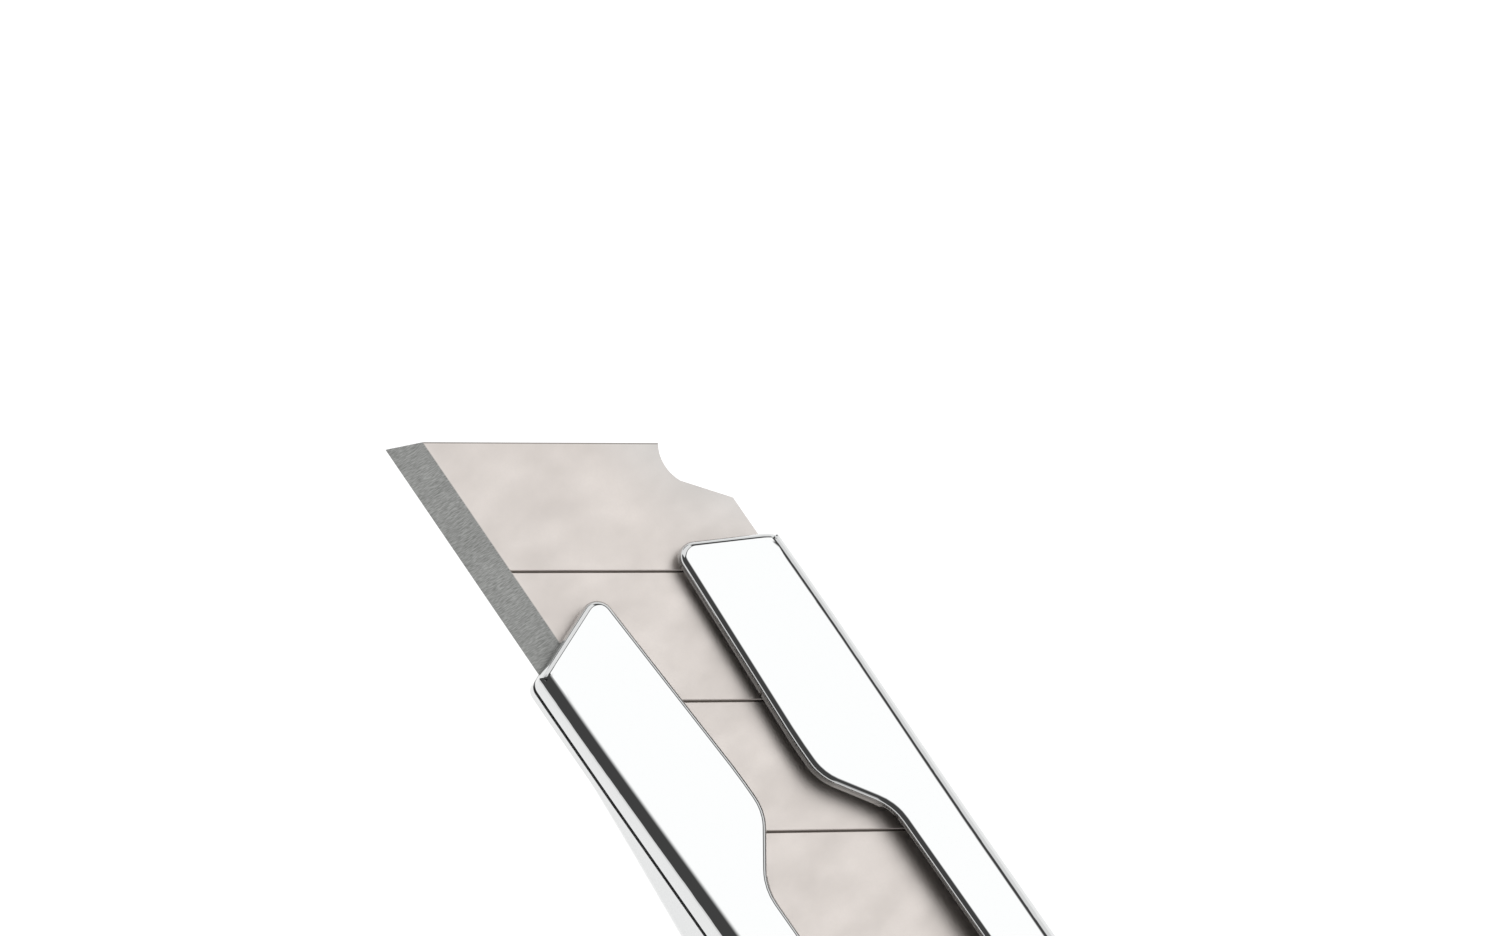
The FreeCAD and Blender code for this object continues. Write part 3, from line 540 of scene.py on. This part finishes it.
def finishes(knife: Knife) -> dict[str, Finish]:
    """List the finish of each material slot.

    Args:
        knife: Places that the blade's pattern starts from.

    Returns:
        Slot name to finish.
    """
    return {
        # Polished zinc casting under chrome: a mirror with sharp dark and bright bands.
        "polished_metal": ChromePlate("chrome_plated_zinc", "#DCDDDD", 0.03),
        # Thermoplastic rubber from a fine-grained mould: flat black that hardly shines.
        "grip_rubber": GripRubber("moulded_grip_rubber", "#1B1B1C", 0.72),
        # Zinc-plated steel off the lathe: a soft pale shine.
        "screw_steel": WorkedMetal("turned_screw_steel", "#B9BABB", 0.3, marks=Axis.UPRIGHT),
        # Hardened carbon steel, satin ground: warm grey without clear reflections, darker at the bevel.
        "blade_steel": BladeSteel("satin_carbon_steel", "#DED7D2", 0.44, point_x_mm=knife.point_x_mm,
                                  edge_y_mm=knife.edge_y_mm),
        # Cold-rolled stainless sheet: a smooth sheen drawn out along the knife.
        "sheet_steel": WorkedMetal("rolled_stainless_sheet", "#C4C5C6", 0.28),
        # Steel rivet set with a punch: a duller grey with coarser marks.
        "rivet_steel": WorkedMetal("set_rivet_steel", "#B4B5B6", 0.32, mark_mm=0.15),
        # Spring strip blued a little by tempering: darker and cooler than the sheet.
        "spring_steel": WorkedMetal("tempered_spring_strip", "#8E9095", 0.3),
        # Brass off the lathe: yellow, with a soft shine.
        "nut_brass": WorkedMetal("turned_brass", "#C9A868", 0.28, marks=Axis.UPRIGHT),
        # Glass-filled nylon from a spark-eroded mould: near black, evenly dull.
        "black_plastic": MouldedNylon("glass_filled_nylon", "#151516", 0.48),
    }


class Workshop:
    """Holds the frame and the finished materials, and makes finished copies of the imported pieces."""

    def __init__(self, frame: dict, knife: Knife) -> None:
        """Keep the frame and build every finish once.

        Args:
            knife: Places that the blade's pattern starts from.
        """
        self.nodes: dict[str, bpy.types.Object] = frame["nodes"]
        record = frame["record"]
        self.slots: dict[str, str] = {p["node"]: p["material_slot"] for p in record["subparts"]}
        groups = record["behaviour"]["bodies"]
        self.bodies: dict[str, str] = {node: body for body, group in groups.items() for node in group}
        self.materials: dict[str, bpy.types.Material] = {s: f.build() for s, f in finishes(knife).items()}

    def dress(self, node: str) -> None:
        """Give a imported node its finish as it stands."""
        self.coat(self.nodes[node], self.slots[node])
        LOG.info("dressed %s", node)

    def coat(self, piece: bpy.types.Object, slot: str) -> None:
        """Put a slot's material on a piece."""
        piece.data.materials.clear()
        piece.data.materials.append(self.materials[slot])

    def copy_of(self, node: str, name: str, weld: float = 2e-6,
                flat_degrees: float = 0.3) -> bpy.types.Object:
        """Copy a node's mesh as one welded surface, with its coplanar triangles joined.

        Args:
            node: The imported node.
            name: Name of the new piece.
            weld: Vertices nearer than this are merged.
            flat_degrees: Faces that meet at less than this are joined.

        Returns:
            The new object, in the scene and active.
        """
        piece = bpy.data.objects.new(name, self.nodes[node].data.copy())
        bpy.context.scene.collection.objects.link(piece)
        select_only(piece)
        bpy.ops.mesh.customdata_custom_splitnormals_clear()
        bpy.ops.object.mode_set(mode="EDIT")
        bpy.ops.mesh.select_all(action="SELECT")
        bpy.ops.mesh.remove_doubles(threshold=weld)
        bpy.ops.mesh.dissolve_limited(angle_limit=math.radians(flat_degrees))
        bpy.ops.object.mode_set(mode="OBJECT")
        return piece

    def finish(self, piece: bpy.types.Object, node: str) -> None:
        """Coat a finished piece and let it stand for its node.

        Args:
            piece: The finished piece.
            node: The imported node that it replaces.
        """
        self.coat(piece, self.slots[node])
        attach(piece, self.bodies[node])
        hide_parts(node)
        LOG.info("%s stands for %s: %d faces", piece.name, node, len(piece.data.polygons))


def select_only(piece: bpy.types.Object) -> None:
    """Deselect everything, then select one object and make it active.

    Args:
        piece: The object to select.
    """
    bpy.ops.object.select_all(action="DESELECT")
    piece.select_set(True)
    bpy.context.view_layer.objects.active = piece


@dataclass(frozen=True)
class Stretch:
    """A size that changes along the knife.

    Attributes:
        start: Station where the change starts.
        end: Station where it ends.
        first: Size before it, in millimetres.
        last: Size after it, in millimetres.
    """

    start: float
    end: float
    first: float
    last: float

    def even(self, station: float) -> float:
        """Return the size at a station for a change at an even rate."""
        share = min((station - self.start) / (self.end - self.start), 1.0)
        return self.first + (self.last - self.first) * share

    def eased(self, station: float) -> float:
        """Return the size at a station for a change that starts and ends gently."""
        share = min(max((station - self.start) / (self.end - self.start), 0.0), 1.0)
        return self.first + (self.last - self.first) * share * share * (3 - 2 * share)


@dataclass(frozen=True)
class Shoulder:
    """Elliptical rounding between the front face and the sides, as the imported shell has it.

    Attributes:
        knife: Places that stations and heights start from.
        face: Height of the front face above the blade.
        height: Height of the rounding.
        spread: How much wider than high it is.
        waist: Half-width of the nose, which narrows behind the lobes.
        flare: What the widening to the handle adds to it.
        slack: How far off the ellipse a mesh vertex may be, as a share of its size.
    """

    knife: Knife
    face: Stretch = Stretch(15.65, 50.0, 1.35, 2.2)
    height: Stretch = Stretch(20.0, 70.0, 0.9, 1.3)
    spread: float = 1.35
    waist: Stretch = Stretch(20.0, 42.0, 9.85, 9.6)
    flare: Stretch = Stretch(50.0, 70.0, 0.0, 3.4)
    slack: float = 0.03

    def across(self, place: Vector) -> Vector:
        """Return a place's position on the ellipse: 0 to 1 outwards and 0 to 1 upwards.

        Args:
            place: A point in metres.

        Returns:
            The position, of length one on the surface itself.
        """
        station = self.knife.point_x_mm - place.x / MM
        depth = self.knife.blade_z_mm + self.face.even(station) - place.z / MM
        height = self.height.eased(station)
        width = height * self.spread
        half = self.waist.eased(station) + self.flare.eased(station)
        return Vector(((abs(place.y) / MM - half + width) / width, 1 - depth / height))

    def holds(self, place: Vector) -> bool:
        """Tell whether a place is on the rounding, its borders included."""
        across = self.across(place)
        return min(across) > -self.slack * 2 / 3 and abs(across.length - 1) < self.slack

    def normal(self, place: Vector) -> Vector:
        """Work out the rounding's outward direction, from how the ellipse's length changes.

        Args:
            place: A point on the rounding, in metres.

        Returns:
            The unit normal.
        """
        step = 0.01 * MM
        slopes = []
        for way in (Vector((step, 0, 0)), Vector((0, step, 0)), Vector((0, 0, step))):
            ahead, behind = self.across(place + way), self.across(place - way)
            slopes.append(max(ahead.x, 0) ** 2 + ahead.y ** 2 - max(behind.x, 0) ** 2 - behind.y ** 2)
        return Vector(slopes).normalized()


class PackedNormals:
    """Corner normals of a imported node, found again by their place."""

    def __init__(self, node: bpy.types.Object) -> None:
        """Read the node's corners.

        Args:
            node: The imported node.
        """
        mesh = node.data
        self.normals: list[Vector] = [corner.vector.copy() for corner in mesh.corner_normals]
        self.places = KDTree(len(mesh.loops))
        for index, loop in enumerate(mesh.loops):
            self.places.insert(mesh.vertices[loop.vertex_index].co, index)
        self.places.balance()

    def at(self, place: Vector, facing: Vector, reach: float = 5e-6, likeness: float = 0.85) -> Vector | None:
        """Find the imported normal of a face's corner.

        Args:
            place: The corner.
            facing: The face's own normal.
            reach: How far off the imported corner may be.
            likeness: Least cosine between the two normals.

        Returns:
            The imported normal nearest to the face's, or None where there is none like it.
        """
        options = [self.normals[index] for _, index, _ in self.places.find_range(place, reach)]
        best = max(options, key=facing.dot, default=None)
        return best if best is not None and best.dot(facing) > likeness else None


@dataclass
class FrontShell:
    """The slotted shell: polished roundings along slot and lobes, and an evenly shaded shoulder.

    Attributes:
        shop: Workshop that makes the pieces.
        shoulder: Rounding between its front face and its sides.
        rim_mm: Polished rounding along the slot and the lobes.
        rim_segments: Facets across it.
        rim_above_mm: Height above the blade where that rounding ends.
        sharp_degrees: Edges sharper than this are rounded.
        smooth_degrees: Edges flatter than this shade smooth.
        rows: Rows of faces from the top of the shoulder to its foot.
        stretch_mm: Length of a face along the shoulder.
        stretches: Number of such lengths, enough for the whole nose.
        flat: Least cosine between a flat face's normal and its corners'.
        joined: Least cosine between a rounding's normal and the flat that it runs into.
    """

    shop: Workshop
    shoulder: Shoulder
    rim_mm: float = 0.5
    rim_segments: int = 6
    rim_above_mm: float = 1.0
    sharp_degrees: float = 38.0
    smooth_degrees: float = 35.0
    rows: int = 9
    stretch_mm: float = 1.5
    stretches: int = 29
    flat: float = 0.99999
    joined: float = 0.6

    def build(self) -> None:
        """Make the finished shell."""
        piece = self.shop.copy_of("front_shell", "front_shell_plated")
        self.round_rim(piece)
        self.grid_shoulder(piece)
        self.shade(piece)
        self.shop.finish(piece, "front_shell")

    def round_rim(self, piece: bpy.types.Object) -> None:
        """Round the sharp edges of the slot and the lobes, and note the new faces' inner vertices.

        Args:
            piece: The shell as one welded surface.
        """
        above = (self.shoulder.knife.blade_z_mm + self.rim_above_mm) * MM
        limit = math.cos(math.radians(self.sharp_degrees))
        select_only(piece)
        bpy.ops.object.mode_set(mode="EDIT")
        bpy.ops.mesh.select_all(action="DESELECT")
        mesh = bmesh.from_edit_mesh(piece.data)
        for edge in mesh.edges:
            faces = edge.link_faces
            sharp = len(faces) == 2 and faces[0].normal.dot(faces[1].normal) < limit
            if sharp and all(v.co.z > above for v in edge.verts):
                edge.select_set(True)
        bmesh.update_edit_mesh(piece.data)
        bpy.ops.mesh.bevel(offset=self.rim_mm * MM, segments=self.rim_segments, profile=0.5,
                           clamp_overlap=False)
        bpy.ops.object.mode_set(mode="OBJECT")
        inner = {v.index for v in piece.data.vertices if v.select}
        for face in piece.data.polygons:
            if not face.select:
                inner.difference_update(face.vertices)
        piece.vertex_groups.new(name=ROUNDED).add(list(inner), 1.0, "REPLACE")

    def cuts(self) -> list[tuple[Vector, Vector]]:
        """List the planes that divide the shoulder, in rows along it and in stretches.

        Returns:
            A point on each plane and its normal.
        """
        face, knife = self.shoulder.face, self.shoulder.knife
        level = Vector((face.last - face.first, 0, face.end - face.start)).normalized()
        top = Vector((knife.point_x_mm - face.start, 0, knife.blade_z_mm + face.first)) * MM
        height = self.shoulder.height.first
        depths = [height * (1 - math.cos(math.pi / 2 * row / self.rows)) for row in range(1, self.rows)]
        rows = [(top - Vector((0, 0, depth * MM)), level) for depth in depths]
        steps = [index * self.stretch_mm * MM for index in range(1, self.stretches + 1)]
        return rows + [(top - Vector((step, 0, 0)), Vector((1, 0, 0))) for step in steps]

    def grid_shoulder(self, piece: bpy.types.Object) -> None:
        """Cut the shoulder's faces into a grid, so that its normals change evenly.

        Args:
            piece: The shell with its rim rounded.
        """
        select_only(piece)
        bpy.ops.object.mode_set(mode="EDIT")
        mesh = bmesh.from_edit_mesh(piece.data)
        mark = mesh.faces.layers.int.new(SHOULDER)
        for face in mesh.faces:
            face[mark] = all(self.shoulder.holds(v.co) for v in face.verts)
        for place, way in self.cuts():
            bpy.ops.mesh.select_all(action="DESELECT")
            mesh = bmesh.from_edit_mesh(piece.data)
            mark = mesh.faces.layers.int[SHOULDER]
            for face in mesh.faces:
                if face[mark]:
                    face.select_set(True)
            bmesh.update_edit_mesh(piece.data)
            bpy.ops.mesh.bisect(plane_co=place, plane_no=way, threshold=1e-7)
        bpy.ops.object.mode_set(mode="OBJECT")
        piece.data.attributes.remove(piece.data.attributes[SHOULDER])

    def shade(self, piece: bpy.types.Object) -> None:
        """Set the shell's normals: by formula on the shoulder, level on flats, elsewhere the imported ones.

        Args:
            piece: The shell with its shoulder divided.
        """
        select_only(piece)
        bpy.ops.object.shade_smooth_by_angle(angle=math.radians(self.smooth_degrees))
        packed = PackedNormals(self.shop.nodes["front_shell"])
        mesh = piece.data
        group = piece.vertex_groups[ROUNDED].index
        rounded = {v.index for v in mesh.vertices if any(g.group == group for g in v.groups)}
        normals = [corner.vector.copy() for corner in mesh.corner_normals]
        level: dict[int, Vector] = {}
        strips: list[tuple[int, int]] = []
        for face in mesh.polygons:
            corners = list(zip(face.loop_indices, face.vertices))
            places = {vertex: mesh.vertices[vertex].co for vertex in face.vertices}
            known: dict[int, Vector] = {}
            if rounded.intersection(face.vertices):
                strips.extend(corners)
            elif all(self.shoulder.holds(place) for place in places.values()):
                known = {index: self.shoulder.normal(places[vertex]) for index, vertex in corners}
            else:
                found = {index: packed.at(places[vertex], face.normal) for index, vertex in corners}
                known = {index: normal for index, normal in found.items() if normal is not None}
                if known and all(normal.dot(face.normal) > self.flat for normal in known.values()):
                    known = {index: face.normal.copy() for index, _ in corners}
                    level.update({vertex: face.normal.copy() for vertex in face.vertices})
            for index, normal in known.items():
                normals[index] = normal
        for index, vertex in strips:
            meets = vertex not in rounded and vertex in level
            if meets and level[vertex].dot(normals[index]) > self.joined:
                normals[index] = level[vertex]
        mesh.normals_split_custom_set([tuple(normal) for normal in normals])


@dataclass
class ShellInside:
    """The rear shell and everything fixed inside the two shells.

    Attributes:
        shop: Workshop that dresses the pieces.
        nodes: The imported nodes.
    """

    shop: Workshop
    nodes: tuple[str, ...] = ("rear_shell", "guide_rail", "spare_blades", "spare_blade_spring",
                              "blade_leaf_spring", "leaf_spring_rivet")

    def build(self) -> None:
        """Dress the nodes."""
        for node in self.nodes:
            self.shop.dress(node)


@dataclass
class Carriage:
    """The snap-off blade and the metal pieces that move with it.

    Attributes:
        shop: Workshop that dresses the pieces.
        nodes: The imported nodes.
    """

    shop: Workshop
    nodes: tuple[str, ...] = ("blade", "blade_carrier", "carrier_peg", "carrier_nut", "spring_washer",
                              "wheel_stud")

    def build(self) -> None:
        """Dress the nodes."""
        for node in self.nodes:
            self.shop.dress(node)


@dataclass
class RoundedPieces:
    """Moulded and turned pieces that need soft edges, and those that have them already.

    Attributes:
        shop: Workshop that makes the pieces.
        widths_mm: Edge rounding of each node.
        filleted: Nodes whose edges are round already.
        segments: Facets across a rounding.
        sharp_degrees: Edges sharper than this are rounded.
    """

    shop: Workshop
    widths_mm: dict[str, float] = field(default_factory=lambda: {
        "slider_saddle": 0.25, "lock_wheel": 0.12, "grip_pad_edge_side": 0.12,
        "grip_pad_spine_side": 0.12, "back_pad": 0.08, "body_screws": 0.05})
    filleted: tuple[str, ...] = ("wheel_cap", "end_cap")
    segments: int = 2
    sharp_degrees: float = 40.0

    def build(self) -> None:
        """Make every rounded piece and dress the others."""
        for node, width_mm in self.widths_mm.items():
            piece = self.shop.copy_of(node, node + "_finished")
            self.soften(piece, width_mm)
            self.shop.finish(piece, node)
        for node in self.filleted:
            self.shop.dress(node)

    def soften(self, piece: bpy.types.Object, width_mm: float) -> None:
        """Round a piece's sharp edges and smooth its shading.

        Args:
            piece: Object with one welded surface.
            width_mm: Width of the rounding.
        """
        select_only(piece)
        bpy.ops.object.shade_smooth()
        bevel = piece.modifiers.new("rounding", "BEVEL")
        bevel.width = width_mm * MM
        bevel.segments = self.segments
        bevel.limit_method = "ANGLE"
        bevel.angle_limit = math.radians(self.sharp_degrees)
        bevel.use_clamp_overlap = False
        bevel.harden_normals = True
        bpy.ops.object.modifier_apply(modifier=bevel.name)


@dataclass(frozen=True)
class SoftBox:
    """A bright area of the sky.

    Attributes:
        strength: Its brightness.
        limits: Axis, and the values of that axis where the area starts and where it is at its full
            brightness.
        joins: How it joins the areas before it.
    """

    strength: float
    limits: tuple[tuple[str, float, float], ...]
    joins: str = "MAXIMUM"


@dataclass
class Studio:
    """White floor, sky of soft boxes and the camera.

    Attributes:
        knife: Places that the camera aims from.
        boxes: The sky's bright areas: overhead, ahead of the point, low beside the cutting edge, low
            beside the spine, and behind the knife.
        dim: Brightness of the rest of the sky.
        floor_gap_mm: Gap under the knife, which keeps its underside and the floor apart.
        view_mm: Width that the view covers at the knife.
        lens_mm: Focal length.
        sensor_mm: Sensor width.
        roll: Degrees that the camera leans towards the cutting edge.
        tilt: Degrees that it leans back from the point.
        turn: Degrees that the knife is turned in the view.
        aim_station: Station at the view's middle.
        aim_from_edge_mm: Distance of that middle from the cutting edge.
    """

    knife: Knife
    boxes: tuple[SoftBox, ...] = (
        SoftBox(1.3, (("Z", 0.58, 0.68), ("X", 0.43, 0.38), ("Y", 0.24, -0.12))),
        SoftBox(0.95, (("X", 0.5, 0.54), ("Z", 0.12, 0.2), ("Y", 0.5, 0.42), ("Y", -0.5, -0.42))),
        SoftBox(0.85, (("Z", 0.26, 0.18), ("Y", 0.0, 0.2))),
        SoftBox(0.85, (("Z", 0.44, 0.36), ("Y", -0.3, -0.5))),
        SoftBox(0.6, (("X", -0.55, -0.65), ("Z", 0.15, 0.3)), "ADD"))
    dim: float = 0.07
    floor_gap_mm: float = 0.05
    view_mm: float = 96.3886
    lens_mm: float = 150.0
    sensor_mm: float = 36.0
    roll: float = 25.69
    tilt: float = 6.938
    turn: float = 55.405
    aim_station: float = 13.582
    aim_from_edge_mm: float = 20.184

    def build(self) -> None:
        """Make the whole studio."""
        self.floor()
        self.sky()
        self.camera()
        settings = bpy.context.scene.view_settings
        settings.view_transform = "Standard"
        settings.look = "None"

    def floor(self) -> None:
        """Lay a pale floor that glows enough to stay white under the knife; it is clear from below."""
        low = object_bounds()[0][2] - self.floor_gap_mm * MM
        bpy.ops.mesh.primitive_plane_add(size=6.0, location=(0, 0, low))
        floor = bpy.context.object
        floor.name = "studio_floor"
        material = bpy.data.materials.new("white_paper_floor")
        material.use_nodes = True
        tree = material.node_tree
        tree.nodes.clear()
        paper = add_node(tree, "ShaderNodeBsdfPrincipled", {
            "Base Color": linear("#808080"), "Roughness": 0.9, "Specular IOR Level": 0.0,
            "Emission Color": (1, 1, 1, 1), "Emission Strength": 0.96})
        clear = add_node(tree, "ShaderNodeBsdfTransparent")
        from_below = add_node(tree, "ShaderNodeNewGeometry").outputs["Backfacing"]
        both = add_node(tree, "ShaderNodeMixShader", {0: from_below, 1: paper, 2: clear})
        add_node(tree, "ShaderNodeOutputMaterial", {"Surface": both})
        floor.data.materials.append(material)
        floor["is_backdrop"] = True

    def sky(self) -> None:
        """Paint the soft boxes onto the world by direction; the camera itself sees plain white."""
        world = bpy.data.worlds.new("softbox_sky")
        bpy.context.scene.world = world
        world.use_nodes = True
        tree = world.node_tree
        tree.nodes.clear()
        way = add_node(tree, "ShaderNodeTexCoord").outputs["Generated"]
        axes = add_node(tree, "ShaderNodeSeparateXYZ", {0: way}).outputs
        light: bpy.types.Node | float = 0.0
        for box in self.boxes:
            area: bpy.types.Node | float = box.strength
            for axis, start, end in box.limits:
                edge = add_node(tree, "ShaderNodeMapRange", {
                    "Value": axes[axis], "From Min": start, "From Max": end}, interpolation_type="SMOOTHSTEP")
                area = add_node(tree, "ShaderNodeMath", {0: area, 1: edge}, operation="MULTIPLY")
            light = add_node(tree, "ShaderNodeMath", {0: light, 1: area}, operation=box.joins)
        light = add_node(tree, "ShaderNodeMath", {0: light, 1: self.dim}, operation="ADD")
        seen = add_node(tree, "ShaderNodeLightPath").outputs["Is Camera Ray"]
        painted = add_node(tree, "ShaderNodeBackground", {"Color": (1, 1, 1, 1), "Strength": light})
        plain = add_node(tree, "ShaderNodeBackground", {"Color": (1, 1, 1, 1), "Strength": 1.0})
        mixed = add_node(tree, "ShaderNodeMixShader", {0: seen, 1: painted, 2: plain})
        add_node(tree, "ShaderNodeOutputWorld", {"Surface": mixed})

    def camera(self) -> None:
        """Place the camera over the nose, looking down from the cutting-edge side."""
        roll, tilt, turn = (math.radians(angle) for angle in (self.roll, self.tilt, self.turn))
        back = Vector((-math.sin(tilt), math.sin(roll) * math.cos(tilt), math.cos(roll) * math.cos(tilt)))
        length_way = (Vector((1, 0, 0)) - back * back.x).normalized()
        side_way = back.cross(length_way)
        right = -math.cos(turn) * length_way - math.sin(turn) * side_way
        up = math.sin(turn) * length_way - math.cos(turn) * side_way
        distance = self.view_mm / self.sensor_mm * self.lens_mm * MM
        aim = Vector((self.knife.point_x_mm - self.aim_station, self.knife.edge_y_mm - self.aim_from_edge_mm,
                      self.knife.blade_z_mm)) * MM
        data = bpy.data.cameras.new("camera")
        data.lens = self.lens_mm
        data.sensor_width = self.sensor_mm
        data.clip_start = 0.01
        camera = bpy.data.objects.new("camera", data)
        bpy.context.scene.collection.objects.link(camera)
        matrix = Matrix((right, up, back)).transposed().to_4x4()
        matrix.translation = aim + back * distance
        camera.matrix_world = matrix
        bpy.context.scene.camera = camera


def main() -> None:
    """Load the frame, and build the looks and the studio."""
    logging.basicConfig(level=logging.INFO, format="%(name)s: %(message)s")
    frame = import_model()
    knife = Knife.from_frame()
    shop = Workshop(frame, knife)
    for part in (FrontShell(shop, Shoulder(knife)), ShellInside(shop), Carriage(shop), RoundedPieces(shop)):
        part.build()
    Studio(knife).build()


if __name__ == "__main__":
    main()
